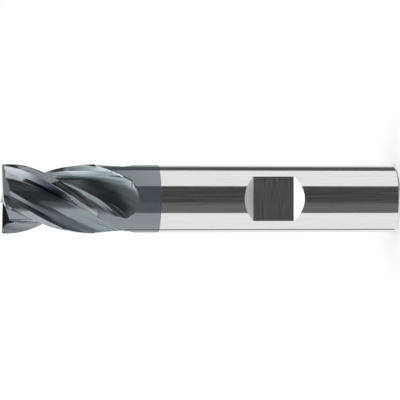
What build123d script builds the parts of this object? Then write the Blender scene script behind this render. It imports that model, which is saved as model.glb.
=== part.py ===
from build123d import *
from math import atan2, ceil, cos, degrees, radians, sin, sqrt, tan
import os

# Solid-carbide square end mill with four helical teeth and a flatted shank, one piece.
# It stands on its shank end at z = 0, its axis is Z, and its teeth point up.
# A station is a distance down the axis from the tip. Angles are in degrees about +Z.

# Overall sizes, in millimetres
overall_length = 70.0
shank_diameter = 12.0
shank_end_chamfer = 0.55
cutting_diameter = 12.2
cutting_length = 16.35
corner_chamfer = 0.15
grinding_stock = 0.05

# Clamping flat of the shank, which faces -Y
flat_length = 7.2
flat_depth = 1.45
flat_centre_height = 22.5
flat_end_angle = 40.0

# Teeth: opposite teeth are alike, and the two pairs have different helix angles
tooth_count = 4
first_tooth_angle = 7.7
helix_angles = (36.1, 33.1)

# Lands behind each cutting edge; reliefs are angles from the tangent at the edge
primary_width = 0.48
primary_relief = 8.0
secondary_width = 1.09
secondary_relief = 23.9

# Flutes, from the rake face over the core to the wall and facet at the heel of the next tooth
core_diameter = 7.96
rake_angle = 6.7
rake_root_radius = 2.3
heel_root_radius = 1.05
heel_wall_lean = 14.5
heel_facet_width = 1.04
heel_facet_relief = 67.0

# Run-out, where the grinding wheel leaves the flute, its rake side ahead of its heel side
run_out_start = 12.8
wheel_radius = 35.8
wheel_slant = 32.0

# End teeth: dished face, two reliefs, and a gash in front of each tooth, deeper for one pair
dish_angle = 1.5
end_primary_width = 0.8
end_primary_relief = 7.0
end_secondary_relief = 20.0
gash_floor_angles = (26.0, 14.0)
gash_starts = (-0.3, 0.9)
gash_setback = 0.3
gash_axial_rake = 12.0
gash_back_angle = 38.0

# How far cutters reach past what they cut, and how finely lofts follow the helix
clearance = 1.2
flute_section_spacing = 4.4
land_section_spacing = 2.2
arc_steps = 2
floor_steps = 2

# Values that follow from the sizes above
shank_radius = shank_diameter / 2
cutting_radius = cutting_diameter / 2
core_radius = core_diameter / 2
stock_radius = cutting_radius + grinding_stock
widest_radius = max(stock_radius, shank_radius)
pair_count = len(helix_angles)
tooth_pitch = 360.0 / tooth_count
mean_helix = sum(helix_angles) / pair_count
flute_depth = widest_radius - core_radius
mean_flute_radius = (cutting_radius + core_radius) / 2
lag_per_degree = radians(mean_flute_radius) * tan(radians(wheel_slant))


def turned(point, angle):
    """A point of a cross-section, turned about the axis."""
    turn = radians(angle)
    x, y = point
    return x * cos(turn) - y * sin(turn), x * sin(turn) + y * cos(turn)


def moved(point, direction, distance):
    """A point moved along a direction, given in degrees."""
    return (
        point[0] + distance * cos(radians(direction)),
        point[1] + distance * sin(radians(direction)),
    )


def bearing(point):
    """Polar angle of a point of a cross-section."""
    return degrees(atan2(point[1], point[0]))


def edge_angle(tooth, station):
    """Angle of a tooth's cutting edge at a station. It falls from the tip to the shank."""
    turn_rate = degrees(tan(radians(helix_angles[tooth % pair_count])) / cutting_radius)
    return first_tooth_angle + tooth * tooth_pitch - turn_rate * station


def wheel_lift(station):
    """How far the wheel has risen, on its own circle, at a station of the flute's middle."""
    travel = max(0.0, station - run_out_start) / cos(radians(mean_helix))
    return travel**2 / (2 * wheel_radius)


def lifted(point, angle, station, middle):
    """A flute point turned to an angle and lifted, where one side of the wheel runs ahead."""
    x, y = turned(point, angle)
    lag = (angle + bearing(point) - middle) * lag_per_degree
    radius = sqrt(x**2 + y**2)
    scale = (radius + wheel_lift(station - lag)) / radius
    return x * scale, y * scale


# Corners of a tooth's land, in a frame whose X axis runs through the cutting edge.
# The land lies on the -Y side of the edge and the flute in front of it on the +Y side.
edge_point = (cutting_radius, 0.0)
primary_end = moved(edge_point, 270 - primary_relief, primary_width)
secondary_end = moved(primary_end, 270 - secondary_relief, secondary_width)
facet_end = moved(secondary_end, 270 - heel_facet_relief, heel_facet_width)
facet_outer = moved(secondary_end, 90 - heel_facet_relief, 2 * clearance)

# Where the rake face runs into its root radius and that into the core, in the same frame
rake_direction = 180 + rake_angle
rake_offset = moved(edge_point, rake_direction - 90, rake_root_radius)
rake_reach = Vector(*rake_offset).dot(Vector(*moved((0, 0), rake_direction, 1)))
rake_root_circle = core_radius + rake_root_radius
rake_depth = -rake_reach - sqrt(
    rake_reach**2 - rake_offset[0] ** 2 - rake_offset[1] ** 2 + rake_root_circle**2
)
rake_root_centre = moved(rake_offset, rake_direction, rake_depth)
rake_outer = moved(edge_point, rake_angle, 2 * clearance)

# The same for the steep wall at the heel, in the frame of the tooth that it belongs to
wall_direction = bearing(facet_end) + 180 + heel_wall_lean
wall_offset = moved(facet_end, wall_direction + 90, heel_root_radius)
wall_reach = Vector(*wall_offset).dot(Vector(*moved((0, 0), wall_direction, 1)))
wall_root_circle = core_radius + heel_root_radius
wall_depth = -wall_reach - sqrt(
    wall_reach**2 - wall_offset[0] ** 2 - wall_offset[1] ** 2 + wall_root_circle**2
)
wall_root_centre = moved(wall_offset, wall_direction, wall_depth)


def root_points(centre, radius, first, last):
    """Points on a root radius between two directions from its centre."""
    step = (last - first) / arc_steps
    return [moved(centre, first + step * i, radius) for i in range(arc_steps + 1)]


rake_root = root_points(
    rake_root_centre, rake_root_radius, rake_direction + 90, 180 + bearing(rake_root_centre)
)
wall_root = root_points(
    wall_root_centre, heel_root_radius, 180 + bearing(wall_root_centre), wall_direction - 90
)


def flute_section(tooth, station):
    """Key points and floor of the flute in front of a tooth, at one station."""
    rake_side = edge_angle(tooth, station)
    heel_side = edge_angle(tooth + 1, station)
    floor_start = rake_side + bearing(rake_root[-1])
    floor_end = heel_side + bearing(wall_root[0])
    middle = (rake_side + heel_side + bearing(secondary_end)) / 2

    def rake_point(point):
        return lifted(point, rake_side, station, middle)

    def heel_point(point):
        return lifted(point, heel_side, station, middle)

    floor_step = (floor_end - floor_start) / floor_steps
    floor = [
        lifted((core_radius, 0), floor_start + floor_step * i, station, middle)
        for i in range(1, floor_steps)
    ]
    root = [rake_point(p) for p in rake_root] + floor + [heel_point(p) for p in wall_root]
    bottom = [Vector(*p) for p in root]
    far = (widest_radius + wheel_lift(station) + 4 * clearance, 0)
    cover = [turned(far, angle) for angle in (heel_side + bearing(facet_outer), middle, rake_side)]
    return bottom, heel_point(facet_end), heel_point(facet_outer), cover, rake_point(rake_outer)


def travelled(points):
    """How far along a row of points each one is, as a share of the row's length."""
    gaps = [(after - before).length for before, after in zip(points, points[1:])]
    return [sum(gaps[:i]) / sum(gaps) for i in range(len(points))]


# The splines of all sections share these parameters, which keeps the lofted floor simple
floor_parameters = travelled(flute_section(0, 0.0)[0])


def stations(last, spacing):
    """Evenly spaced stations from just above the tip to the last one."""
    count = ceil((last + clearance) / spacing)
    return [-clearance + (last + clearance) * i / count for i in range(count + 1)]


# The wheel is clear of the steel once it has risen by the flute's depth and a little more
heel_lag = (tooth_pitch / 2) * lag_per_degree
run_out_travel = sqrt(2 * wheel_radius * (flute_depth + clearance / 2))
flute_end = run_out_start + run_out_travel * cos(radians(mean_helix)) + heel_lag

# Blank: ground round, with a dished end and a chamfered shank end
land_height = overall_length - cutting_length
dish_depth = cutting_radius * tan(radians(dish_angle))

with BuildPart() as blank:
    with BuildSketch(Plane.XZ):
        with BuildLine():
            Polyline(
                (0, 0),
                (shank_radius - shank_end_chamfer, 0),
                (shank_radius, shank_end_chamfer),
                (shank_radius, land_height),
                (stock_radius, land_height),
                (stock_radius, overall_length - corner_chamfer - grinding_stock),
                (cutting_radius - corner_chamfer, overall_length),
                (0, overall_length - dish_depth),
                close=True,
            )
        make_face()
    revolve(axis=Axis.Z)

# Clamping flat: a straight cut along X with a slope at each end
flat_radius = shank_radius - flat_depth
slope_run = (flat_depth + clearance) / tan(radians(flat_end_angle))
flat_bottom = flat_centre_height - flat_length / 2
flat_top = flat_centre_height + flat_length / 2

with BuildPart() as flat_cutter:
    with BuildSketch(Plane.YZ):
        with BuildLine():
            Polyline(
                (-flat_radius, flat_bottom),
                (-flat_radius, flat_top),
                (-shank_radius - clearance, flat_top + slope_run),
                (-shank_radius - clearance, flat_bottom - slope_run),
                close=True,
            )
        make_face()
    extrude(amount=shank_radius + clearance, both=True)


def flute_cutter(tooth):
    """Sweeping space of the wheel: cross-sections turned along the helix and lofted."""
    with BuildPart() as cutter:
        for station in stations(flute_end, flute_section_spacing):
            bottom, heel, heel_outer, cover, rake_end = flute_section(tooth, station)
            with BuildSketch(Plane.XY.offset(overall_length - station)):
                with BuildLine():
                    Line(rake_end, bottom[0])
                    add(Edge.make_spline(bottom, parameters=floor_parameters))
                    Polyline(bottom[-1], heel, heel_outer, *cover, rake_end)
                make_face()
        loft()
    return cutter.part


def land_cutter(tooth):
    """Space above the primary and secondary relief of a tooth, over the cutting length."""
    primary_outer = moved(edge_point, 90 - primary_relief, clearance / 2)
    secondary_outer = moved(secondary_end, 270 - secondary_relief, clearance / 2)
    far = (widest_radius + clearance, 0)
    with BuildPart() as cutter:
        for station in stations(cutting_length, land_section_spacing):
            angle = edge_angle(tooth, station)
            outline = [primary_outer, primary_end, secondary_outer]
            outline += [turned(far, bearing(p)) for p in (secondary_outer, primary_outer)]
            with BuildSketch(Plane.XY.offset(overall_length - station)):
                with BuildLine():
                    Polyline(*[turned(p, angle) for p in outline], close=True)
                make_face()
        loft()
    return cutter.part


def end_relief_cutter(tooth):
    """Space above the two reliefs behind a tooth's end edge, tilted by the dish."""
    angle = radians(edge_angle(tooth, 0))
    reach = cutting_radius + clearance
    start = Vector(cos(angle), sin(angle)) * reach
    start.Z = overall_length + clearance * tan(radians(dish_angle))
    inward = Vector(-cos(angle), -sin(angle), -tan(radians(dish_angle)))
    behind = Vector(sin(angle), -cos(angle), 0)
    primary_drop = end_primary_width * tan(radians(end_primary_relief))
    secondary_drop = primary_drop + reach * tan(radians(end_secondary_relief))
    front_rise = gash_setback * tan(radians(end_primary_relief))
    with BuildPart() as cutter:
        with BuildSketch(Plane(origin=start, x_dir=behind, z_dir=inward)):
            with BuildLine():
                Polyline(
                    (0, front_rise),
                    (gash_setback, 0),
                    (gash_setback + end_primary_width, -primary_drop),
                    (gash_setback + end_primary_width + reach, -secondary_drop),
                    (gash_setback + end_primary_width + reach, clearance),
                    (0, clearance),
                    close=True,
                )
            make_face()
        extrude(amount=reach / cos(radians(dish_angle)))
    return cutter.part


def gash_cutter(tooth):
    """V-shaped groove in front of a tooth's end edge, which deepens from the middle outwards."""
    kind = tooth % pair_count
    angle = radians(edge_angle(tooth, 0))
    outward = Vector(cos(angle), sin(angle), -tan(radians(gash_floor_angles[kind])))
    ahead = Vector(-sin(angle), cos(angle), 0)
    start = Vector(cos(angle), sin(angle)) * gash_starts[kind] - ahead * gash_setback
    start.Z = overall_length - dish_depth
    height = cutting_radius
    with BuildPart() as cutter:
        with BuildSketch(Plane(origin=start, x_dir=ahead, z_dir=outward)):
            with BuildLine():
                Polyline(
                    (0, 0),
                    (height * tan(radians(gash_axial_rake)), height),
                    (height / tan(radians(gash_back_angle)), height),
                    close=True,
                )
            make_face()
        extrude(amount=2 * cutting_radius)
    return cutter.part


# The finished tool: the blank less the flat, the lands, the flutes and the end grinding
teeth = range(tooth_count)
with BuildPart() as end_mill:
    add(blank.part)
    add(flat_cutter.part, mode=Mode.SUBTRACT)
    add([land_cutter(tooth) for tooth in teeth], mode=Mode.SUBTRACT)
    add([flute_cutter(tooth) for tooth in teeth], mode=Mode.SUBTRACT)
    for tooth in teeth:
        add(gash_cutter(tooth), mode=Mode.SUBTRACT)
    for tooth in teeth:
        add(end_relief_cutter(tooth), mode=Mode.SUBTRACT)

end_mill.part.label = "end_mill"

os.makedirs("parts", exist_ok=True)
export_step(end_mill.part, "parts/end_mill.step")
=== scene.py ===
import math

import bmesh
import bpy
import numpy as np
from bpy.props import FloatProperty, FloatVectorProperty, IntProperty, PointerProperty
from mathutils import Matrix, Vector


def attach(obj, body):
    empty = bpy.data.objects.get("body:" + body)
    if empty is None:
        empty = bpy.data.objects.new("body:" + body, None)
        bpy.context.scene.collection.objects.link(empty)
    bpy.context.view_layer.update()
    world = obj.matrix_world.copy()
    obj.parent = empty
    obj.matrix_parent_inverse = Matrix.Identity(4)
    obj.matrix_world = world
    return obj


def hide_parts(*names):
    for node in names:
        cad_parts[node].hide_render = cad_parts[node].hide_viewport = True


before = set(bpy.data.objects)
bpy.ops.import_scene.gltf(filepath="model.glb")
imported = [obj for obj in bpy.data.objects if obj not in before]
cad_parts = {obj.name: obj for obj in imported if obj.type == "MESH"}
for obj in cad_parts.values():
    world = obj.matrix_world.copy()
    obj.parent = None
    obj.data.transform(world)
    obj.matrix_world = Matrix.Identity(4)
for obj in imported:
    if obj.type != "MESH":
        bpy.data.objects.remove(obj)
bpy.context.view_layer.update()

bl_info = {
    "name": "Square end mill",
    "version": (1, 0, 0),
    "blender": (4, 5, 0),
    "location": "View3D > Sidebar > End mill",
    "description": "A coated, helical square end mill with a flatted shank, and a stage for it",
    "category": "Object",
}

NODE = "end_mill"
STREAKS = "Grinding"
# Material slots of the cutting end; the worn edge is partly and the last slot wholly painted highlight
FLUTE, LAND, ROUND, END, WORN_HIGHLIGHT, PAINTED_HIGHLIGHT = range(6)
# Columns of a ring after each flute: the rounding of the heel, the secondary and the primary land
ROUNDING, SECONDARY, PRIMARY = 7, 10, 5


# -------- sizes and colours


def metres(name, description, default):
    """A length in metres."""
    return FloatProperty(name=name, description=description, default=default, unit="LENGTH")


def degrees(name, description, default):
    """An angle that is given in degrees and held in radians."""
    return FloatProperty(name=name, description=description, default=math.radians(default), unit="ROTATION")


def number(name, description, default):
    """A number that has no unit."""
    return FloatProperty(name=name, description=description, default=default)


def colour(name, description, *default):
    """A linear colour."""
    return FloatVectorProperty(name=name, description=description, default=default, subtype="COLOR")


class EndMillSizes(bpy.types.PropertyGroup):
    """Sizes of the tool. A station is a distance down the axis from the tip."""

    length: metres("Overall length", "Tip to shank end", 0.070)
    shank_radius: metres("Shank radius", "Radius of the ground shank", 0.006)
    shank_chamfer: metres("Shank chamfer", "Chamfer of the shank end", 0.0003)
    cutting_radius: metres("Cutting radius", "Radius to the cutting edges", 0.0061)
    cutting_length: metres("Cutting length", "Length of the lands", 0.01635)
    corner_chamfer: metres("Corner chamfer", "Chamfer of each tooth's corner", 0.00015)
    grinding_stock: metres("Grinding stock", "What the land relief takes off", 0.00005)
    coated_length: metres("Coated length", "How far the coating reaches", 0.0275)
    flat_length: metres("Flat length", "Length of the clamping flat", 0.0072)
    flat_depth: metres("Flat depth", "Depth of the clamping flat", 0.00145)
    flat_height: metres("Flat height", "Centre of the flat above the shank end", 0.0225)
    flat_slope: degrees("Flat slope", "Slope at each end of the flat", 40)


class ToothSizes(bpy.types.PropertyGroup):
    """Sizes of the teeth and flutes. Opposite teeth are alike."""

    teeth: IntProperty(name="Teeth", description="Number of teeth", default=4)
    first_angle: degrees("First tooth", "Angle of the first edge at the tip", 7.7)
    helix_a: degrees("Helix of first pair", "Helix angle", 36.1)
    helix_b: degrees("Helix of second pair", "Helix angle", 33.1)
    primary_width: metres("Primary land", "Width of the land behind the edge", 0.00048)
    primary_relief: degrees("Primary relief", "Relief angle", 8)
    secondary_width: metres("Secondary land", "Width of the second land", 0.00109)
    secondary_relief: degrees("Secondary relief", "Relief angle", 23.9)
    core_radius: metres("Core radius", "Radius of the flute floor", 0.00398)
    rake: degrees("Rake", "Hook of the face in front of the edge", 6.7)
    rake_root: metres("Rake root radius", "Radius under the rake face", 0.0023)
    heel_root: metres("Heel root radius", "Radius under the heel wall", 0.0004)
    heel_lean: degrees("Heel wall lean", "Lean of the heel wall", 20)
    facet_width: metres("Heel facet", "Width of the facet at the heel", 0.0012)
    facet_relief: degrees("Heel facet relief", "Relief angle", 67)
    run_out_start: metres("Run-out start", "Station where the wheel starts to rise", 0.0128)
    wheel_radius: metres("Wheel radius", "Radius of the grinding wheel", 0.0358)
    nose_place: number("Nose place", "Where across the floor the run-out reaches farthest", 0.635)
    nose_reach: metres("Nose reach", "How far past its own centre line it reaches", 0.00098)
    rake_fall: metres("Rake fall", "How much earlier the floor ends at its rake side", 0.00175)
    heel_fall: metres("Heel fall", "How much earlier it ends at its heel side", 0.00108)
    wall_fall: metres("Wall fall", "How much earlier still both walls end", 0.001)
    exit_turn: number("Exit turn", "Turn of the heel side per metre of rise in the run-out", 91.4)
    edge_rounding: metres("Heel rounding", "Rounding of the heel on the round part", 0.00018)
    # One heel is worn bare metal, bright partly as a painted highlight
    worn_highlight_heel: IntProperty(name="Worn heel", description="Flute whose heel has worn bright", default=0)
    worn_highlight_end: metres("Worn end", "Station where the bright wear ends", 0.0208)
    # These five place a painted highlight: a strip along each heel, a length of each land, and the last
    # heel's facet
    painted_highlight_heel: number("Light heel", "Share of the secondary land that is light where it ends", 0.42)
    painted_highlight_start: metres("Light start", "Station where this light strip starts", 0.007)
    painted_highlight_land: metres("Light land", "Station where the whole land turns light", 0.0028)
    painted_highlight_land_end: metres("Light land end", "Station where it turns dark again", 0.0081)
    painted_highlight_slant: metres("Light slant", "How far these two places lag across the land", 0.0016)


class EndToothSizes(bpy.types.PropertyGroup):
    """Sizes of the grinding on the end face."""

    dish: degrees("Dish", "Hollow of the end", 1.5)
    primary_width: metres("End primary land", "Width behind the end edge", 0.0008)
    primary_relief: degrees("End primary relief", "Relief angle", 7)
    secondary_relief: degrees("End secondary relief", "Relief angle", 20)
    floor_a: degrees("Deep gash slope", "Slope of the gash floor", 26)
    floor_b: degrees("Shallow gash slope", "Slope of the gash floor", 14)
    start_a: metres("Deep gash start", "Distance from the axis", -0.0003)
    start_b: metres("Shallow gash start", "Distance from the axis", 0.0009)
    setback: metres("Gash setback", "How far the gash cuts behind the radius", 0.0003)
    axial_rake: degrees("Gash rake", "Lean of the gash face", 12)
    back: degrees("Gash back", "Slope of the gash back", 38)


class EndMillColours(bpy.types.PropertyGroup):
    """Colours of the coating, from the tip down to the shank, and of the bare metal's streaks."""

    flute_tip: colour("Flute, tip", "Coating of the flutes at the tip", 0.285, 0.31, 0.335)
    flute_base: colour("Flute, base", "Coating of the flutes at the run-out", 0.25, 0.30, 0.315)
    # Painted shade: a dark patch in the flute beside the last heel
    painted_shade: colour("Stain", "Stain beside the last flute's heel", 0.055, 0.06, 0.088)
    land_tip: colour("Land, tip", "Coating of the lands at the tip", 0.012, 0.012, 0.016)
    land_base: colour("Land, base", "Coating of the lands at their end", 0.012, 0.015, 0.017)
    # Painted highlight: light colours that stand in for reflections on parts of the lands
    painted_highlight_tip: colour("Light land, tip", "Light parts of the lands at the tip", 0.225, 0.235, 0.255)
    painted_highlight_base: colour("Light land, base", "Light parts of the lands at their end", 0.32, 0.33, 0.345)
    round_tip: colour("Round part, tip", "Coating past the lands, toward the tip", 0.05, 0.07, 0.08)
    round_base: colour("Round part, base", "Coating past the lands", 0.058, 0.078, 0.086)
    # Painted shade: the end face's coating is darker than the rest, for the shaded gashes
    end_face: colour("End face", "Coating of the end grinding", 0.010, 0.014, 0.017)
    # Worn bare metal on one heel, light partly as a painted highlight
    worn_highlight_dark: colour("Worn edge, dark", "Darker streaks of the worn heel", 0.85, 0.85, 0.85)
    worn_highlight_light: colour("Worn edge, light", "Lighter streaks of the worn heel", 0.95, 0.95, 0.95)
    shank_dark: colour("Shank, dark", "Darker streaks of the shank", 0.72, 0.72, 0.73)
    shank_light: colour("Shank, light", "Lighter streaks of the shank", 0.80, 0.80, 0.80)
    flat_dark: colour("Flat, dark", "Darker streaks of the flat", 0.74, 0.74, 0.75)
    flat_light: colour("Flat, light", "Lighter streaks of the flat", 0.84, 0.84, 0.84)
    # The slopes are lighter than the shank as a painted highlight
    slope_dark: colour("Slope, dark", "Darker streaks of the flat's slopes", 0.84, 0.84, 0.84)
    slope_light: colour("Slope, light", "Lighter streaks of the flat's slopes", 0.9, 0.9, 0.9)


# -------- plane geometry


def step_from(point, direction, distance):
    """The point plus distance times (cos, sin) of the direction."""
    return point + distance * np.array([np.cos(direction), np.sin(direction)])


def bearing(point):
    """Polar angle of a point of a cross-section."""
    return math.atan2(point[1], point[0])


def root_centre(start, offset_direction, direction, radius, core):
    """Centre of the arc that touches a straight flank and the core circle from outside it.

    The centre lies on the flank's line moved sideways by the radius, where its distance
    from the axis is the core radius plus the arc's radius: a quadratic in the distance along it.
    """
    offset = step_from(start, offset_direction, radius)
    along = step_from(np.zeros(2), direction, 1.0)
    reach = offset @ along
    depth = -reach - math.sqrt(reach**2 - offset @ offset + (core + radius) ** 2)
    return step_from(offset, direction, depth)


class Section:
    """Cross-section of the fluted end: the corner between two lands, and the flute as a table.

    Every point of the flute has a radius, an angle and a share. The share says how far it turns
    with the tooth behind the flute (0) or with the tooth ahead of it (1). Its place counts the six parts
    of the flute: rake face, arc under it, floor, arc under the heel wall, that wall, and the facet.
    """

    def __init__(self, size, tooth):
        self.size, self.tooth = size, tooth
        self.mean_helix = (tooth.helix_a + tooth.helix_b) / 2
        half = math.pi / 2
        # How far the table runs on outward, past the edge and past the heel
        overrun = 0.0024
        edge = np.array([size.cutting_radius, 0.0])
        self.p1 = step_from(edge, 3 * half - tooth.primary_relief, tooth.primary_width)
        p2 = step_from(self.p1, 3 * half - tooth.secondary_relief, tooth.secondary_width)
        p3 = step_from(p2, 3 * half - tooth.facet_relief, tooth.facet_width)
        facet_outer = step_from(p2, half - tooth.facet_relief, overrun)
        rake_way = math.pi + tooth.rake
        rake_outer = step_from(edge, tooth.rake, overrun)
        rake_c = root_centre(edge, rake_way - half, rake_way, tooth.rake_root, tooth.core_radius)
        wall_way = bearing(p3) + math.pi + tooth.heel_lean
        wall_c = root_centre(p3, wall_way + half, wall_way, tooth.heel_root, tooth.core_radius)

        def line(a, b, n):
            return a + np.linspace(0, 1, n)[:, None] * (b - a)

        def arc(centre, radius, first, last, n):
            turn = np.linspace(first, last, n)[:, None]
            return centre + radius * np.hstack([np.cos(turn), np.sin(turn)])

        rake_arc = arc(rake_c, tooth.rake_root, rake_way + half, math.pi + bearing(rake_c), 90)
        rake_face = line(rake_outer, rake_arc[0], 160)
        wall_arc = arc(wall_c, tooth.heel_root, math.pi + bearing(wall_c), wall_way - half, 90)
        # The floor is an arc of the core circle, and its length is taken as 40 degrees
        steps = np.linspace(0, 1, 60)
        floor_angle = bearing(rake_arc[-1]) * (1 - steps) + bearing(wall_arc[0]) * steps
        floor = (np.full(60, tooth.core_radius), floor_angle, steps, tooth.core_radius * math.radians(40))

        def polar(points, share):
            length = np.linalg.norm(np.diff(points, axis=0), axis=1).sum()
            return np.hypot(*points.T), np.arctan2(*points.T[::-1]), np.full(len(points), share), length

        wall, facet = line(wall_arc[-1], p3, 60), line(p3, facet_outer, 160)
        parts = [polar(rake_face, 0.0), polar(rake_arc, 0.0), floor]
        parts += [polar(points, 1.0) for points in (wall_arc, wall, facet)]
        self.radius, self.angle, self.share = (np.concatenate([part[i] for part in parts]) for i in range(3))
        self.lengths = np.array([part[3] for part in parts])
        places = [i + np.linspace(0, 1, len(part[0])) * (1 - 1e-9) for i, part in enumerate(parts)]
        self.place = np.concatenate(places)
        # Places of a ring's columns, from just outside the edge to half way along the facet's line
        away = np.linalg.norm(rake_face - rake_outer, axis=1)
        edge_place = float(np.interp(overrun, away, places[0]))
        spans = [(edge_place - 0.05, 0.999, 7), (1, 2, 18), (2, 3, 12), (3, 4, 18), (4, 5, 7)]
        columns = [np.linspace(first, last, n + 1)[:-1] for first, last, n in spans]
        self.columns = np.concatenate(columns + [np.linspace(5, 5.55, 7)])

    def edge_angle(self, k, station):
        """Angle of a tooth's edge: its angle at the tip less tan(helix) / radius times the station."""
        tooth = self.tooth
        helix = (tooth.helix_a, tooth.helix_b)[k % 2]
        start = tooth.first_angle + k * 2 * math.pi / tooth.teeth
        return start - math.tan(helix) / self.size.cutting_radius * station

    def lift(self, station):
        """Rise of the wheel: its travel past the run-out's start squared, over twice its radius."""
        travel = np.maximum(0.0, station - self.tooth.run_out_start) / math.cos(self.mean_helix)
        return travel**2 / (2 * self.tooth.wheel_radius)

    def land_radius(self, angle):
        """Distance from the axis to the relief lands, at angles from the edge: two lines in polar form."""
        edge = np.array([self.size.cutting_radius, 0.0])
        out = []
        for point, relief in ((edge, self.tooth.primary_relief), (self.p1, self.tooth.secondary_relief)):
            normal = -relief
            reach = point @ np.array([math.cos(normal), math.sin(normal)])
            out.append(reach / np.cos(angle - normal))
        return np.where(angle > bearing(self.p1), out[0], out[1])

    def lag(self, radius, share):
        """How much later than its own centre line each part of the section starts to rise.

        Across the floor it is a parabola with its top at the nose's place. Both walls are earlier again,
        by an amount that grows over the first 0.3 mm of their height.
        """
        tooth = self.tooth
        offset = share - tooth.nose_place
        rake_side = tooth.rake_fall / tooth.nose_place**2
        heel_side = tooth.heel_fall / (1 - tooth.nose_place) ** 2
        fall = np.where(offset < 0, rake_side, heel_side)
        wall = np.clip((radius - tooth.core_radius) / 0.0003, 0, 1)
        return tooth.nose_reach - fall * offset**2 - tooth.wall_fall * wall

    def flute(self, k, station, place):
        """Radius and angle of flute points, lifted by the wheel, at stations (rows) and places.

        As the wheel rises the heel side turns away from the helix, toward the line of the axis.
        """
        radius = np.interp(place, self.place, self.radius)
        local = np.interp(place, self.place, self.angle)
        share = np.interp(place, self.place, self.share)
        behind = self.edge_angle(k, station)
        ahead = self.edge_angle(k + 1, station)
        turn = self.tooth.exit_turn * self.lift(station)
        angle = local + behind * (1 - share) + (ahead + turn) * share
        return radius + self.lift(station - self.lag(radius, share)), angle


def fluted_rows(section, station, on_land):
    """Rings of the fluted end at the given stations: x and y as rows by columns, and a group per column.

    Each ring is, for every tooth in turn, the flute from the cutting edge to the heel of the next
    tooth, a small rounding of that heel, and the land or the round part up to the next edge.
    A flute is cut off where it reaches the land's or the blank's radius.
    The groups are 0 for the flute, 1 for the rounding, 2 and 3 for the secondary and the primary land.
    """
    tooth, blank = section.tooth, section.size.shank_radius
    s, lands = station[:, None], on_land[:, None]
    rows = np.arange(len(station))
    last = len(section.place) - 1
    flutes, roundings, heels = [], [], []
    for k in range(tooth.teeth):
        radius, angle = section.flute(k, s, section.place[None, :])
        behind, ahead = section.edge_angle(k, s), section.edge_angle(k + 1, s)
        near = angle < (behind + ahead) / 2
        land = np.where(near, section.land_radius(angle - behind), section.land_radius(angle - ahead))
        over = radius - np.where(lands, land, blank)
        inside = over < 0
        gone = ~inside.any(axis=1)
        a = np.clip(inside.argmax(axis=1), 1, last)
        b = np.clip(last - inside[:, ::-1].argmax(axis=1), 0, last - 1)

        def crossing(i, j):
            share = over[rows, i] / (over[rows, i] - over[rows, j])
            return section.place[i] + share * (section.place[j] - section.place[i])

        lowest = section.place[radius.argmin(axis=1)]
        start = np.where(gone, lowest, crossing(a - 1, a))[:, None]
        stop = np.where(gone, lowest, crossing(b + 1, b))[:, None]
        # The rounding takes a little off the flute and off the blank, and fades as the flute narrows
        width = np.where(lands, 0.0, tooth.edge_rounding)
        width = np.minimum(width, 0.3 * (stop - start) * 0.001)
        part = section.lengths[np.clip(stop.astype(int), 0, 5)]
        inner = np.maximum(stop - width / part, start)
        place = np.clip(section.columns[None, :], start, inner)
        place[:, 0] = start[:, 0]
        place[:, -1] = inner[:, 0]
        r, t = section.flute(k, s, place)
        r0, t0 = section.flute(k, s, stop)
        cap = np.where(lands, r0, blank)
        r = np.where(gone[:, None], blank, r)
        r0 = np.where(gone[:, None], blank, r0)
        flutes.append((r * np.cos(t), r * np.sin(t)))
        # It is a parabola from the flute to the blank, with the sharp corner as its pull point
        ends = [(r[:, -1:], t[:, -1:]), (r0, t0), (cap, t0 + width / cap)]
        pulls = [(q * np.cos(w), q * np.sin(w)) for q, w in ends]
        m = np.linspace(0, 1, ROUNDING + 1)[None, 1:]
        weights = ((1 - m) ** 2, 2 * m * (1 - m), m**2)
        roundings.append([sum(w * q for w, q in zip(weights, side)) for side in zip(*pulls)])
        heels.append((*pulls[2], t0 + width / cap))
    # Each land runs up to the next flute's first column, so the lands follow when all flutes are known
    xs, ys = [], []
    for k in range(tooth.teeth):
        x2, y2, t2 = heels[k]
        ex, ey = (side[:, :1] for side in flutes[(k + 1) % tooth.teeth])
        ahead = section.edge_angle(k + 1, s)
        cx = section.p1[0] * np.cos(ahead) - section.p1[1] * np.sin(ahead)
        cy = section.p1[0] * np.sin(ahead) + section.p1[1] * np.cos(ahead)
        m = np.linspace(0, 1, SECONDARY + 1)[None, 1:]
        w = np.linspace(0, 1, PRIMARY + 2)[None, 1:-1]
        lx = np.hstack([x2 + (cx - x2) * m, cx + (ex - cx) * w])
        ly = np.hstack([y2 + (cy - y2) * m, cy + (ey - cy) * w])
        turn = np.mod(np.arctan2(ey, ex) - t2, 2 * math.pi)
        t = t2 + turn * np.linspace(0, 1, SECONDARY + PRIMARY + 2)[None, 1:-1]
        xs += [flutes[k][0], roundings[k][0], np.where(lands, lx, blank * np.cos(t))]
        ys += [flutes[k][1], roundings[k][1], np.where(lands, ly, blank * np.sin(t))]
    # The quad after the last column of the rounding is the first of the secondary land
    counts = [len(section.columns), ROUNDING - 1, SECONDARY + 1, PRIMARY]
    return np.hstack(xs), np.hstack(ys), np.tile(np.repeat(np.arange(4), counts), tooth.teeth)


# -------- meshes


def grid_faces(rows, columns):
    """Quads of a grid that closes on itself along its columns, outward for rows that run down the axis."""
    i = np.arange(rows - 1)[:, None] * columns
    j = np.arange(columns)[None, :]
    j1 = (j + 1) % columns
    a, b, c, d = i + j, i + columns + j, i + columns + j1, i + j1
    return np.stack([a, b, c, d], axis=-1).reshape(-1, 4)


def grid_cells(rows, columns):
    """Row and column of every one of these quads."""
    return np.divmod(np.arange((rows - 1) * columns), columns)


def values_of(items, name, count=1, kind=np.float32):
    """One property of every item of a mesh's collection, as an array of rows of count values."""
    values = np.empty(len(items) * count, dtype=kind)
    items.foreach_get(name, values)
    return values.reshape(-1, count) if count > 1 else values


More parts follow.
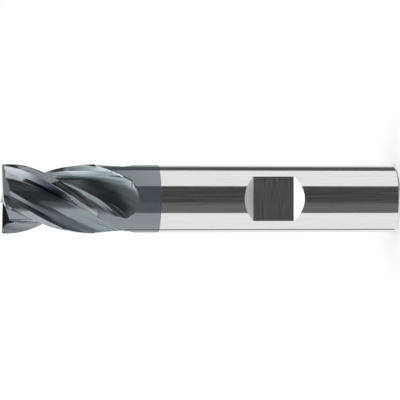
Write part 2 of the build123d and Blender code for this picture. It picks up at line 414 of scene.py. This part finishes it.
def new_mesh(name, points, quads, caps, materials, index, uv=None):
    """A mesh from point and quad arrays, with n-gon caps; uv is a value per point and is set per corner."""
    mesh = bpy.data.meshes.new(name)
    faces = [tuple(q) for q in quads.tolist()] + [tuple(c) for c in caps]
    mesh.from_pydata(points.tolist(), [], faces)
    for material in materials:
        mesh.materials.append(material)
    mesh.polygons.foreach_set("material_index", np.asarray(index, dtype=np.int32))
    layer = mesh.uv_layers.new(name=STREAKS)
    if uv is not None:
        corner = values_of(mesh.loops, "vertex_index", kind=np.int32)
        layer.data.foreach_set("uv", uv[corner].astype(np.float32).ravel())
    mesh.update()
    return mesh


def weld(mesh):
    """The same mesh, with points that coincide joined and its faces turned outward."""
    bm = bmesh.new()
    bm.from_mesh(mesh)
    bmesh.ops.remove_doubles(bm, verts=bm.verts, dist=1e-8)
    bmesh.ops.recalc_face_normals(bm, faces=bm.faces)
    bm.to_mesh(mesh)
    bm.free()
    return mesh


def prism(name, origin, x_way, z_way, outline, depth, materials, index):
    """An outline in the plane of x_way and z_way cross x_way, pushed along z_way."""
    z = Vector(z_way).normalized()
    x = Vector(x_way).normalized()
    y = z.cross(x)
    low = [Vector(origin) + x * u + y * v for u, v in outline]
    high = [p + z * depth for p in low]
    n = len(low)
    points = np.array([tuple(p) for p in low + high])
    quads = np.array([[i, (i + 1) % n, n + (i + 1) % n, n + i] for i in range(n)])
    caps = [list(range(n))[::-1], list(range(n, 2 * n))]
    return weld(new_mesh(name, points, quads, caps, materials, [index] * (n + 2)))


def lathe(name, profile, segments, materials, index):
    """A profile of (radius, height) turned about Z and closed on the axis at both ends."""
    turn = np.linspace(0, 2 * math.pi, segments, endpoint=False)
    r, z = np.array(profile).T[:, :, None]
    x, y = r * np.cos(turn), r * np.sin(turn)
    points = np.stack([x, y, np.broadcast_to(z, x.shape)], axis=-1).reshape(-1, 3)
    quads = grid_faces(len(profile), segments)
    return weld(new_mesh(name, points, quads, [], materials, [index] * len(quads)))


def placed(name, data):
    """A new object in the scene."""
    thing = bpy.data.objects.new(name, data)
    bpy.context.scene.collection.objects.link(thing)
    return thing


def cut(mesh, cutters):
    """The mesh less each cutter in turn, by booleans that are applied at once."""
    work = placed("work", mesh)
    helpers = [placed("cutter", cutter) for cutter in cutters]
    for helper in helpers:
        modifier = work.modifiers.new("cut", "BOOLEAN")
        modifier.operation = "DIFFERENCE"
        modifier.solver = "MANIFOLD"
        modifier.object = helper
    graph = bpy.context.evaluated_depsgraph_get()
    result = bpy.data.meshes.new_from_object(work.evaluated_get(graph), depsgraph=graph)
    for thing in [work] + helpers:
        data = thing.data
        bpy.data.objects.remove(thing)
        bpy.data.meshes.remove(data)
    return result


def join(name, upper, lower, level, materials):
    """Two meshes as one, without the upper one's face at the level where they meet."""
    bm = bmesh.new()
    bm.from_mesh(upper)
    inner = [f for f in bm.faces if all(abs(v.co.z - level) < 1e-7 for v in f.verts)]
    bmesh.ops.delete(bm, geom=inner, context="FACES")
    bm.from_mesh(lower)
    bmesh.ops.delete(bm, geom=[v for v in bm.verts if not v.link_faces], context="VERTS")
    bmesh.ops.remove_doubles(bm, verts=bm.verts, dist=2e-8)
    bmesh.ops.recalc_face_normals(bm, faces=bm.faces)
    mesh = bpy.data.meshes.new(name)
    bm.to_mesh(mesh)
    bm.free()
    for material in materials:
        mesh.materials.append(material)
    bpy.data.meshes.remove(upper)
    bpy.data.meshes.remove(lower)
    return mesh


def finish_piece(name, mesh, round_index, radius):
    """Puts a mesh in the scene as a piece of the tool: smooth where faces nearly agree, sharp elsewhere.

    Faces of the round material whose corners all lie at the radius get normals straight out from the axis.
    """
    mesh.polygons.foreach_set("use_smooth", np.ones(len(mesh.polygons), dtype=bool))
    mesh.set_sharp_from_angle(angle=math.radians(9.5))
    normals = values_of(mesh.corner_normals, "vector", 3)
    at = values_of(mesh.vertices, "co", 3)[values_of(mesh.loops, "vertex_index", kind=np.int32)]
    totals = values_of(mesh.polygons, "loop_total", kind=np.int32)
    index = values_of(mesh.polygons, "material_index", kind=np.int32)
    away = np.hypot(at[:, 0], at[:, 1])
    face = np.repeat(np.arange(len(totals)), totals)
    nearest = np.full(len(totals), 1.0)
    np.minimum.at(nearest, face, away)
    is_round = ((index == round_index) & (nearest > radius - 2e-7))[face]
    out = np.stack([at[:, 0] / away.clip(1e-9), at[:, 1] / away.clip(1e-9), 0 * away], axis=-1)
    mesh.normals_split_custom_set(np.where(is_round[:, None], out, normals).tolist())
    piece = placed(name, mesh)
    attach(piece, "root")
    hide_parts(NODE)
    return piece


# -------- materials


class Look:
    """A new material with its shader, and short ways to build its nodes."""

    def __init__(self, name, shader="ShaderNodeBsdfPrincipled", **values):
        self.material = bpy.data.materials.new(name)
        self.material.use_nodes = True
        self.tree = self.material.node_tree
        self.tree.nodes.clear()
        out, surface = self.add("ShaderNodeOutputMaterial"), self.add(shader, **values)
        self.link(surface.outputs[0], out.inputs["Surface"])
        self.inputs = surface.inputs

    def add(self, kind, **values):
        """A node; each value sets its property of that name, or else its input, with _ for a space."""
        node = self.tree.nodes.new(kind)
        for key, value in values.items():
            if hasattr(node, key):
                setattr(node, key, value)
            else:
                node.inputs[key.replace("_", " ")].default_value = value
        return node

    def link(self, a, b):
        """Joins an output to an input."""
        self.tree.links.new(a, b)

    def remap(self, value, first, last, low=0.0, high=1.0, kind="LINEAR"):
        """The value taken from the span first to last onto the span low to high."""
        spans = {"From_Min": first, "From_Max": last, "To_Min": low, "To_Max": high}
        node = self.add("ShaderNodeMapRange", interpolation_type=kind, **spans)
        self.link(value, node.inputs["Value"])
        return node.outputs["Result"]

    def coordinates(self, source):
        """The streak coordinates of the mesh (UV) or the object's own (Object)."""
        if source == "UV":
            return self.add("ShaderNodeUVMap", uv_map=STREAKS).outputs["UV"]
        return self.add("ShaderNodeTexCoord").outputs[source]

    def component(self, source, axis):
        """One component of these coordinates."""
        split = self.add("ShaderNodeSeparateXYZ")
        self.link(self.coordinates(source), split.inputs["Vector"])
        return split.outputs[axis]

    def streaks(self, source, scale, detail):
        """Fine noise drawn out along one direction: coordinates scaled unevenly before the noise."""
        mapping = self.add("ShaderNodeMapping", Scale=scale)
        noise = self.add("ShaderNodeTexNoise", Scale=1.0, Detail=detail, Roughness=0.6)
        self.link(self.coordinates(source), mapping.inputs["Vector"])
        self.link(mapping.outputs["Vector"], noise.inputs["Vector"])
        return noise.outputs["Fac"]

    def grind(self, streaks, rough, bump):
        """Lets the streaks vary the roughness, and stand out by up to a hundredth of a millimetre."""
        self.link(self.remap(streaks, 0, 1, *rough), self.inputs["Roughness"])
        relief = self.add("ShaderNodeBump", Strength=bump, Distance=0.00001)
        self.link(streaks, relief.inputs["Height"])
        self.link(relief.outputs["Normal"], self.inputs["Normal"])


def ground_metal(name, dark, light, rough, bump, scale, dull=0.0):
    """Ground metal: streaks vary its colour and roughness, and stand out a little as bump.

    Dull is how far the streaks take it off a pure metal, which shows where it reflects something dark.
    """
    look = Look(name, Metallic=1.0)
    streaks = look.streaks("Object", scale, 3.0)
    look.grind(streaks, rough, bump)
    ramp = look.add("ShaderNodeValToRGB")
    for element, position, tone in zip(ramp.color_ramp.elements, (0.3, 0.7), (dark, light)):
        element.position = position
        element.color = (*tone, 1)
    look.link(streaks, ramp.inputs["Fac"])
    look.link(ramp.outputs["Color"], look.inputs["Base Color"])
    if dull:
        look.link(look.remap(streaks, 0.35, 0.65, 1.0, 1 - dull), look.inputs["Metallic"])
    return look.material


def coating(name, tip, base, index, rough, bump, source, scale, detail=3.0, spread=0.4, painted_shade=None):
    """Hard dark coating over streaks left by the grinding.

    Its colour goes from the tip's to the base's down the axis, and each streak is up to spread off it.
    The painted shade is a colour and the place across of the heel beside which that dark patch lies.
    Without one the coating is a dielectric with a high index, and with one it reflects like a metal.
    """
    metallic = 0.98 if painted_shade else 0.0
    look = Look(name, IOR=index, Specular_Tint=(0.9, 0.98, 1.0, 1), Metallic=metallic)
    streaks = look.streaks(source, scale, detail)
    look.grind(streaks, rough, bump)
    height = look.component("Object", "Z")
    tone = look.add("ShaderNodeMix", data_type="RGBA", A=(*tip, 1), B=(*base, 1))
    look.link(look.remap(height, 0.066, 0.052, kind="SMOOTHSTEP"), tone.inputs["Factor"])
    # Painted shade beside the last heel
    if painted_shade:
        tone = with_painted_shade(look, tone, height, *painted_shade)
    streaked = look.add("ShaderNodeVectorMath", operation="SCALE")
    look.link(tone.outputs["Result"], streaked.inputs[0])
    look.link(look.remap(streaks, 0, 1, 1 - spread, 1 + spread), streaked.inputs["Scale"])
    look.link(streaked.outputs["Vector"], look.inputs["Base Color"])
    return look.material


def with_painted_shade(look, tone, height, painted_shade, heel):
    """The tone with painted shade: a dark patch next to the last flute's heel, between two heights."""
    share = look.remap(look.component("UV", "X"), heel - 0.0026, heel - 0.0020, kind="SMOOTHSTEP")
    # It fades out over the first of these spans going up, and over the second going down
    for gone, there in ((0.0656, 0.0626), (0.0582, 0.0604)):
        both = look.add("ShaderNodeMath", operation="MULTIPLY")
        look.link(share, both.inputs[0])
        look.link(look.remap(height, gone, there, kind="SMOOTHSTEP"), both.inputs[1])
        share = both.outputs[0]
    mix = look.add("ShaderNodeMix", data_type="RGBA", B=(*painted_shade, 1))
    look.link(share, mix.inputs["Factor"])
    look.link(tone.outputs["Result"], mix.inputs["A"])
    return mix


def end_materials(tones, heel):
    """Materials of the cutting end in the order of their slots; heel is where the last heel lies across."""
    return [
        # The flutes' coating, with painted shade beside the last heel
        coating(
            "coated_flute", tones.flute_tip, tones.flute_base, index=3.1, rough=(0.11, 0.22), bump=0.05,
            source="UV", scale=(3500, 70, 1), detail=2.0, spread=0.3, painted_shade=(tones.painted_shade, heel),
        ),
        coating(
            "coated_land", tones.land_tip, tones.land_base, index=3.1, rough=(0.06, 0.14), bump=0.2,
            source="UV", scale=(6000, 300, 1),
        ),
        coating(
            "coated_round", tones.round_tip, tones.round_base, index=2.7, rough=(0.05, 0.11), bump=0.15,
            source="Object", scale=(5000, 5000, 200),
        ),
        # Darker and with a lower index than the rest of the coating: painted shade in the gashes
        coating(
            "coated_end", tones.end_face, tones.end_face, index=2.0, rough=(0.08, 0.16), bump=0.2,
            source="Object", scale=(900, 5000, 900),
        ),
        # Worn bare metal, near white and partly diffuse: wear and a painted highlight
        ground_metal(
            "worn_edge_highlight", tones.worn_highlight_dark, tones.worn_highlight_light, rough=(0.3, 0.4), bump=0.1,
            scale=(900, 900, 900), dull=0.6,
        ),
        # Painted highlight on parts of the lands and on the last heel's facet
        coating(
            "coated_painted_highlight", tones.painted_highlight_tip, tones.painted_highlight_base, index=2.7, rough=(0.15, 0.25), bump=0.1,
            source="UV", scale=(6000, 300, 1),
        ),
    ]


def shank_materials(tones):
    """Materials of the shank, brushed along it, and of its flat and the flat's slopes, brushed across."""
    return [
        ground_metal(
            "bare_shank", tones.shank_dark, tones.shank_light, rough=(0.05, 0.1), bump=0.08,
            scale=(4500, 4500, 90), dull=0.035,
        ),
        ground_metal(
            "bare_flat", tones.flat_dark, tones.flat_light, rough=(0.08, 0.16), bump=0.15,
            scale=(200, 900, 12000), dull=0.05,
        ),
        # Lighter than the shank and the flat: a painted highlight on the slopes
        ground_metal(
            "bare_slope", tones.slope_dark, tones.slope_light, rough=(0.34, 0.42), bump=0.15,
            scale=(200, 900, 3000),
        ),
    ]


# -------- operators


class ENDMILL_OT_cutting_end(bpy.types.Operator):
    """Coated cutting end: lands, flutes with their run-out, and end teeth"""

    bl_idname = "endmill.cutting_end"
    bl_label = "Coated cutting end"

    def execute(self, context):
        scene = context.scene
        size, tooth, end = scene.end_mill_sizes, scene.end_mill_teeth, scene.end_mill_end
        section = Section(size, tooth)
        # The end grinding is cut into the tip, a blank that starts above the finished end
        blank_top, tip_last, round_last = -0.0009, 0.0045, 0.0265
        tip = np.linspace(blank_top, tip_last, 37)
        lands = np.linspace(tip_last, size.cutting_length, 80)[1:]
        run_out = np.linspace(size.cutting_length, round_last, 77)
        tail = np.linspace(round_last, size.coated_length, 6)[1:]
        station = np.concatenate([tip, lands, run_out, tail])
        on_land = np.arange(len(station)) < len(tip) + len(lands)
        x, y, groups = fluted_rows(section, station, on_land)
        rows, columns = x.shape
        z = np.broadcast_to((size.length - station)[:, None], x.shape)
        points = np.stack([x, y, z], axis=-1)
        # Streak coordinates: across is the length round a ring of the lands, along follows the helix
        ring = points[60]
        across = np.concatenate([[0], np.cumsum(np.linalg.norm(np.diff(ring, axis=0), axis=1))])
        along = station / math.cos(section.mean_helix)
        uv = np.stack(np.broadcast_arrays(across[None, :], along[:, None]), axis=-1).reshape(-1, 2)
        # Place across of the last heel, beside which the painted shade lies
        last_heel = columns // tooth.teeth * (tooth.teeth - 1) + len(section.columns) - 1
        materials = end_materials(scene.end_mill_colours, across[last_heel])
        points = points.reshape(-1, 3)
        quads = grid_faces(rows, columns)
        index = end_slots(size, tooth, station, on_land, groups)
        # The tip and the rest share the ring of points between split and shared
        split = (len(tip) - 1) * columns
        shared = split + columns
        caps = [list(range(columns)), list(range(split, shared))[::-1]]
        slots = [*index[:split], END, END]
        tip_mesh = weld(new_mesh("tip", points[:shared], quads[:split], caps, materials, slots, uv[:shared]))
        cut_tip = cut(tip_mesh, end_cutters(section, size, tooth, end, materials))
        caps = [list(range((rows - 1) * columns, rows * columns))[::-1]]
        rest = new_mesh("rest", points, quads[split:], caps, materials, [*index[split:], ROUND], uv)
        mesh = join("cutting_end", cut_tip, rest, size.length - tip_last, materials)
        finish_piece("cutting_end", mesh, ROUND, size.shank_radius)
        return {"FINISHED"}


def end_slots(size, tooth, station, on_land, groups):
    """Material slot of every quad of the fluted rows."""
    row, column = grid_cells(len(station), len(groups))
    per = len(groups) // tooth.teeth
    flute, place = np.divmod(column, per)
    group, at, land = groups[column], station[row], on_land[row]
    index = np.where(group < 2, FLUTE, np.where(land, LAND, ROUND))
    # The rounding of one heel is worn bare metal, and its brightness there is partly a painted highlight
    worn_highlight = (group == 1) & ~land & (flute == tooth.worn_highlight_heel) & (at < tooth.worn_highlight_end)
    index = np.where(worn_highlight, WORN_HIGHLIGHT, index)
    # A strip along each heel gets the painted highlight, and widens toward the end of the land
    order = place - (per - SECONDARY - PRIMARY - 1)
    grown = (at - tooth.painted_highlight_start) / (size.cutting_length - tooth.painted_highlight_start)
    strip = SECONDARY * tooth.painted_highlight_heel * grown
    index = np.where((group == 2) & (index == LAND) & (order < strip), PAINTED_HIGHLIGHT, index)
    # So does a length of the whole land near the tip
    slant = tooth.painted_highlight_slant * np.clip(order / (SECONDARY + PRIMARY), 0, 1)
    ground = (at > tooth.painted_highlight_land + slant) & (at < tooth.painted_highlight_land_end + slant)
    index = np.where((index == LAND) & ground, PAINTED_HIGHLIGHT, index)
    # On the last flute the painted highlight strip goes on over the heel's facet: from 2.2 mm on, a column
    # more per 0.6 mm
    facet_columns = (at - tooth.painted_highlight_start - 0.0022) / 0.0006
    last_place = per - ROUNDING - SECONDARY - PRIMARY - 1
    light = land & (flute == tooth.teeth - 1) & (group < 2) & (facet_columns > 0)
    return np.where(light & (place > last_place - facet_columns), PAINTED_HIGHLIGHT, index)


def end_cutters(section, size, tooth, end, materials):
    """What the end grinding takes away: the dished blank end, four gashes and four end reliefs."""
    r, top = size.cutting_radius, size.length
    dish = r * math.tan(end.dish)
    # How far the cutters reach: out from the axis, up from the tip, and past the edge
    outer, above, past = 0.009, 0.002, 0.0012
    edge = r + size.grinding_stock
    drop = size.corner_chamfer + size.grinding_stock
    cap = [
        (0.0, top + above),
        (outer, top + above),
        (outer, top - drop - (outer - edge)),
        (r - size.corner_chamfer, top),
        (0.0, top - dish),
    ]
    gashes, reliefs = [], []
    gash = [(0, 0), (r / math.tan(end.back), r), (r * math.tan(end.axial_rake), r)]
    reach, land = r + past, end.setback + end.primary_width
    first_drop = end.primary_width * math.tan(end.primary_relief)
    second_drop = first_drop + reach * math.tan(end.secondary_relief)
    relief = [
        (0, end.setback * math.tan(end.primary_relief)),
        (end.setback, 0),
        (land, -first_drop),
        (land + reach, -second_drop),
        (land + reach, above),
        (0, above),
    ]
    for k in range(tooth.teeth):
        a = section.edge_angle(k, 0.0)
        way = Vector((math.cos(a), math.sin(a), 0))
        ahead = Vector((-math.sin(a), math.cos(a), 0))
        origin = way * (end.start_a, end.start_b)[k % 2] - ahead * end.setback
        origin.z = top - dish
        z_way = way - Vector((0, 0, math.tan((end.floor_a, end.floor_b)[k % 2])))
        gashes.append(prism("gash", origin, ahead, z_way, gash, 2 * r, materials, END))
        origin = way * reach
        origin.z = top + past * math.tan(end.dish)
        inward = -way - Vector((0, 0, math.tan(end.dish)))
        depth = reach / math.cos(end.dish)
        reliefs.append(prism("relief", origin, -ahead, inward, relief, depth, materials, END))
    return [lathe("end", cap, 192, materials, END), *gashes, *reliefs]


class ENDMILL_OT_shank(bpy.types.Operator):
    """Bare ground shank with its clamping flat and chamfered end"""

    bl_idname = "endmill.shank"
    bl_label = "Ground shank"

    def execute(self, context):
        size = context.scene.end_mill_sizes
        radius, half = size.shank_radius, size.flat_length / 2
        run = size.flat_depth / math.tan(size.flat_slope)
        low, high = size.flat_height - half, size.flat_height + half
        # Over this length beyond each slope the flat's columns draw together to one line
        spread = 0.004
        upper, lower = high + run + spread, low - run - spread
        slope = run * np.linspace(0, 1, 30) ** 1.5
        z = np.concatenate(
            [
                np.linspace(size.length - size.coated_length, upper, 8),
                np.linspace(upper, high + run, 14)[1:],
                high + run - slope[1:],
                np.linspace(high, low, 12)[1:],
                low - run + slope[-2::-1],
                np.linspace(low - run, lower, 14)[1:],
                np.linspace(lower, size.shank_chamfer, 10)[1:],
            ]
        )
        past = np.maximum(np.abs(z - size.flat_height) - half, 0)
        depth = size.flat_depth - past * math.tan(size.flat_slope)
        face = radius - np.clip(depth, 0, None)
        full = math.acos((radius - size.flat_depth) / radius)
        opening = np.arccos(np.clip(face / radius, -1, 1))
        beyond = np.clip((past - run) / spread, 0, 1)
        opening = np.where(past > run, full * beyond * beyond * (3 - 2 * beyond), opening)[:, None]
        # Quads across the flat, and round the rest of the shank
        flat_quads, round_quads = 48, 192
        inner = np.linspace(-1, 1, flat_quads + 1)
        outer = np.linspace(0, 1, round_quads + 1)[1:-1]
        angle = np.hstack([opening * inner, opening + (2 * math.pi - 2 * opening) * outer])
        columns = angle.shape[1]
        is_flat = (np.arange(columns) <= flat_quads)[None, :] & (depth > 0)[:, None]
        r = np.where(is_flat, face[:, None] / np.cos(np.clip(angle, -1.2, 1.2)), radius)
        r = np.minimum(r, radius)
        turn = angle - math.pi / 2
        body = np.stack([r * np.cos(turn), r * np.sin(turn), np.broadcast_to(z[:, None], r.shape)], axis=-1)
        # The chamfer and the end face are rings that shrink to a point on the axis
        rims = [radius - size.shank_chamfer, radius * 0.6, radius * 0.25, 0.0]
        rim = np.stack([np.cos(turn[-1]), np.sin(turn[-1]), np.zeros(columns)], axis=-1)
        points = np.concatenate([body, np.stack([q * rim for q in rims])])
        rows = len(points)
        row, column = grid_cells(rows, columns)
        deep, level = depth > -1e-9, past < 1e-9
        cut_row, level_row = np.zeros(rows - 1, bool), np.zeros(rows - 1, bool)
        cut_row[: len(z) - 1] = deep[:-1] & deep[1:]
        level_row[: len(z) - 1] = level[:-1] & level[1:]
        index = np.where(cut_row[row] & (column < flat_quads), np.where(level_row[row], 1, 2), 0)
        materials = shank_materials(context.scene.end_mill_colours)
        quads, caps = grid_faces(rows, columns), [list(range(columns))]
        mesh = weld(new_mesh("shank", points.reshape(-1, 3), quads, caps, materials, [*index, 0]))
        finish_piece("shank", mesh, 0, radius)
        return {"FINISHED"}


class ENDMILL_OT_stage(bpy.types.Operator):
    """White floor, white tent light with dark cards that only reflections see, and the camera"""

    bl_idname = "endmill.stage"
    bl_label = "Stage, light and camera"

    def execute(self, context):
        scene = context.scene
        dull = {"Base_Color": (0.93, 0.93, 0.93, 1), "Roughness": 0.9, "Specular_IOR_Level": 0.1}
        look = Look("floor_white", Emission_Color=(1, 1, 1, 1), **dull)
        # Only the camera sees the floor's own light
        seen = look.add("ShaderNodeLightPath").outputs["Is Camera Ray"]
        look.link(look.remap(seen, 0, 1, 0, 0.12), look.inputs["Emission Strength"])
        half = 1.5
        corners = [(-half, -half, 0), (half, -half, 0), (half, half, 0), (-half, half, 0)]
        mesh = bpy.data.meshes.new("floor")
        mesh.from_pydata(corners, [], [(0, 1, 2, 3)])
        mesh.materials.append(look.material)
        floor = placed("floor", mesh)
        # The tent goes on below the floor for reflections, so the shank shows its cards down to its end
        floor.visible_glossy = False

        world = scene.world or bpy.data.worlds.new("tent")
        scene.world = world
        world.use_nodes = True
        background = world.node_tree.nodes["Background"]
        background.inputs["Color"].default_value = (1, 1, 1, 1)
        background.inputs["Strength"].default_value = 1.0

        tent()

        # The focal length and the picture's width are in pixels, as fitted to the photo
        focal, picture, sensor = 2256.0, 400, 36
        camera_data = bpy.data.cameras.new("camera")
        camera_data.sensor_width = sensor
        camera_data.lens = focal / picture * sensor
        camera_data.clip_start = 0.01
        camera_data.clip_end = 50
        camera = placed("camera", camera_data)
        place = Vector((-0.00022, -0.3966, 0.0872))
        aim = Vector((-0.00022, 0.0, 0.03496))
        back = (place - aim).normalized()
        # The tool lies along the picture, so the picture's up is +X
        up = Vector((1, 0, 0))
        right = up.cross(back)
        camera.matrix_world = Matrix.Translation(place) @ Matrix((right, up, back)).transposed().to_4x4()
        scene.camera = camera
        scene.view_settings.view_transform = "Standard"
        return {"FINISHED"}


def ease(value, first, last):
    """0 before first, 1 after last, and the smooth cubic between them."""
    share = np.clip((value - first) / (last - first), 0, 1)
    return share * share * (3 - 2 * share)


def band(value, first, full, fall, last):
    """0 before first, eased to 1 at full, and from fall eased back to 0 at last."""
    return ease(value, first, full) * (1 - ease(value, fall, last))


def tent_level(turn, rise):
    """Light level of the tent in a direction: turn from the camera's side toward +X, rise above level.

    Both are in degrees. The tent is white. Each panel has a share, which is a product of eased edges or
    the bell curve of a spot, and blends the level toward its own by that share.
    """
    level = np.ones(np.broadcast(turn, rise).shape)

    def panel(share, tone):
        nonlocal level
        level = level * (1 - share) + tone * share

    def spot(turn_at, rise_at, wide, high):
        return np.exp(-(((turn - turn_at) / wide) ** 2) - ((rise - rise_at) / high) ** 2)

    # Grey ground, lighter straight below
    panel((1 - ease(rise, -32, -22)) * ease(turn, -112, -50), 0.42 + 0.4 * ease(-rise, 55, 75))
    # Bright roof, brighter to the right and a little brighter to the left
    tone = 1.2 + 1.1 * ease(turn, -15, 20) * (1 - ease(rise, 60, 75)) + 0.5 * (1 - ease(turn, -42, -28))
    panel(ease(rise, 39, 44) * ease(turn, -80, -45), tone)
    # Two seams behind the tool
    panel(band(turn, 110.5, 112.5, 131, 152), 0.09)
    panel(band(turn, -137, -133, -128, -125), 0.2)
    # The dark panel above the camera, greyer higher up, with a darker spot at its left and a light one
    top = 38.5 + 2.5 * ease(turn, -30, 0)
    sides = ease(turn + 2.5 * rise, -37, -19) * (1 - ease(turn + 2.6 * rise, 122, 140))
    panel(band(rise, -4.4, -3, top, top + 3.5) * sides, 0.06 + 0.24 * ease(rise, 10, 32))
    panel(spot(-62, 33, 24, 10), 0.03)
    panel(spot(15, 32, 26, 12), 0.28)
    # A light grey panel behind the tool, and a grey spot at its right
    panel(ease(abs(turn), 140, 160) * band(rise, 22, 32, 55, 65), 0.75)
    panel(spot(95, 27, 16, 6), 0.4)
    # The dark panel round the camera, whose left border is sharp for the shank and soft above it
    soft = 18 * ease(rise, -5.2, -2.5)
    front = band(turn, -50.5 - soft, -49 + soft, 42.5, 44) * band(rise, -34, -24, 18, 26)
    above = ease(rise, -5.2, -3.5)
    tone = 0.062 + 0.03 * above + (0.085 + 0.12 * above) * (1 - ease(turn, -24, -6))
    panel(front, tone - 0.05 * ease(rise, -3, 4) + 0.15 * ease(-rise, 16, 20))
    return level


def tent():
    """A dome round the tool, lit by tent_level, that only reflections see."""
    radius, centre = 0.6, 0.035
    turn = np.arange(-180, 181, 1.0)
    # The dome is finer where its panels have their edges
    low, middle, high = np.arange(-88, -40, 4.0), np.arange(-40, 50, 1.0), np.arange(50, 89, 4.0)
    rise = np.concatenate([[-89.9], low, middle, high, [89.9]])
    level = tent_level(turn[None, :], rise[:, None])
    a, e = np.radians(turn)[None, :], np.radians(rise)[:, None]
    flat = radius * np.cos(e)
    up = np.broadcast_to(centre + radius * np.sin(e), level.shape)
    points = np.stack([flat * np.sin(a), -flat * np.cos(a), up], axis=-1).reshape(-1, 3)
    i = np.arange(len(rise) - 1)[:, None] * len(turn)
    j = np.arange(len(turn) - 1)[None, :]
    quads = np.stack([i + j, i + j + 1, i + j + len(turn) + 1, i + j + len(turn)], axis=-1).reshape(-1, 4)
    look = Look("tent", "ShaderNodeEmission")
    look.link(look.add("ShaderNodeAttribute", attribute_name="level").outputs["Fac"], look.inputs["Strength"])
    mesh = bpy.data.meshes.new("tent")
    mesh.from_pydata(points.tolist(), [], quads.tolist())
    mesh.materials.append(look.material)
    values = mesh.attributes.new("level", "FLOAT", "POINT").data
    values.foreach_set("value", level.astype(np.float32).ravel())
    thing = placed("tent", mesh)
    for ray in ("camera", "diffuse", "shadow", "transmission", "volume_scatter"):
        setattr(thing, "visible_" + ray, False)


class ENDMILL_PT_panel(bpy.types.Panel):
    """Buttons for the tool and its stage"""

    bl_idname = "ENDMILL_PT_panel"
    bl_label = "End mill"
    bl_space_type = "VIEW_3D"
    bl_region_type = "UI"
    bl_category = "End mill"

    def draw(self, context):
        for group in GROUPS:
            box = self.layout.box()
            settings = getattr(context.scene, group)
            for name in settings.bl_rna.properties.keys():
                if name not in ("rna_type", "name"):
                    box.prop(settings, name)
        for operator in OPERATORS:
            self.layout.operator(operator.bl_idname)


GROUPS = {
    "end_mill_sizes": EndMillSizes,
    "end_mill_teeth": ToothSizes,
    "end_mill_end": EndToothSizes,
    "end_mill_colours": EndMillColours,
}
OPERATORS = (ENDMILL_OT_cutting_end, ENDMILL_OT_shank, ENDMILL_OT_stage)
CLASSES = (*GROUPS.values(), *OPERATORS, ENDMILL_PT_panel)


def register():
    for cls in CLASSES:
        bpy.utils.register_class(cls)
    for name, group in GROUPS.items():
        setattr(bpy.types.Scene, name, PointerProperty(type=group))


def unregister():
    for name in GROUPS:
        delattr(bpy.types.Scene, name)
    for cls in reversed(CLASSES):
        bpy.utils.unregister_class(cls)


def main():
    register()
    bpy.ops.endmill.cutting_end()
    bpy.ops.endmill.shank()
    bpy.ops.endmill.stage()


if __name__ == "__main__":
    main()
